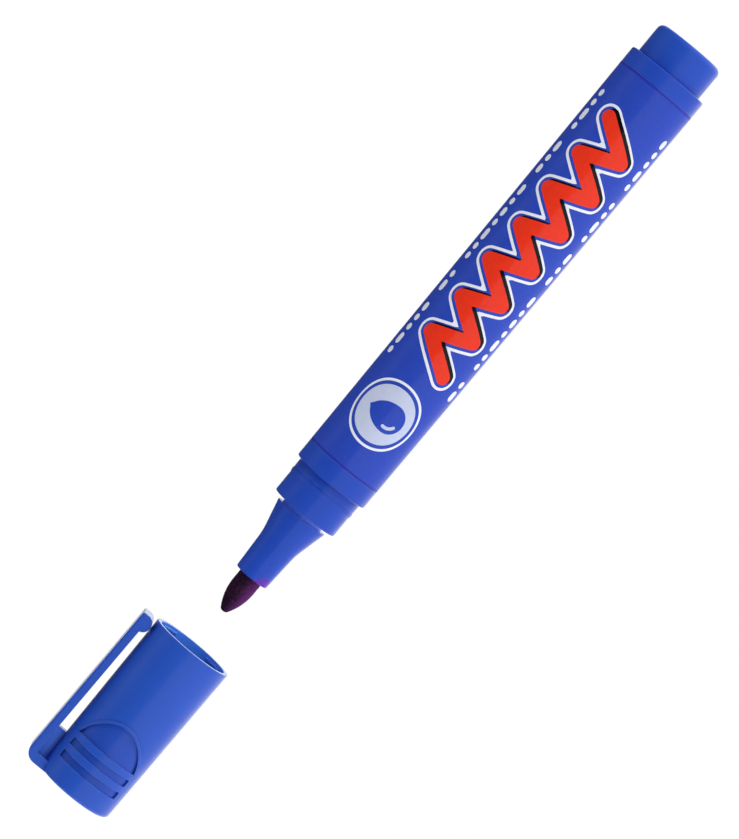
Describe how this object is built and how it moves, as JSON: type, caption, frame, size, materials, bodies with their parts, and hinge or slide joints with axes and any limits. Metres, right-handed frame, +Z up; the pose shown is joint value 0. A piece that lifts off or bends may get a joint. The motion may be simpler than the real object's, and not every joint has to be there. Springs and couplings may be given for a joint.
{
  "type": "marker pen",
  "caption": "Marker pen with a bullet fibre nib, stepped nose, snap spigot, printed sleeve and tail plug; its clip cap slides on and off along the axis.",
  "frame": {"origin": "on the floor, under the middle of the marker with its cap pulled off", "axes": "+X along the pen from the cap towards the tail, +Z up with the clip on top, -Y towards the viewer of the picture"},
  "size_m": [0.18, 0.0168, 0.02],
  "materials": {
    "body_plastic": "gloss moulded polypropylene",
    "label_film": "gloss printed film",
    "holder_plastic": "gloss moulded polypropylene",
    "nib_fibre": "ink-soaked bonded fibre",
    "reservoir_fibre": "ink-soaked fibre rod",
    "clear_film": "thin plain film",
    "plug_plastic": "gloss moulded polypropylene",
    "cap_plastic": "satin moulded polypropylene",
    "seal_plastic": "satin moulded polyethylene"
  },
  "bodies": {
    "pen": {"barrel": "body_plastic", "label_sleeve": "label_film", "nib_holder": "holder_plastic", "nib": "nib_fibre", "ink_reservoir": "reservoir_fibre", "reservoir_film": "clear_film", "rear_plug": "plug_plastic"},
    "cap": {"cap_shell": "cap_plastic", "cap_seal": "seal_plastic"}
  },
  "joints": [
    {"name": "cap_slide", "type": "slide", "parent": "pen", "child": "cap", "axis": [1, 0, 0], "range_m": [0, 0.04015]}
  ]
}
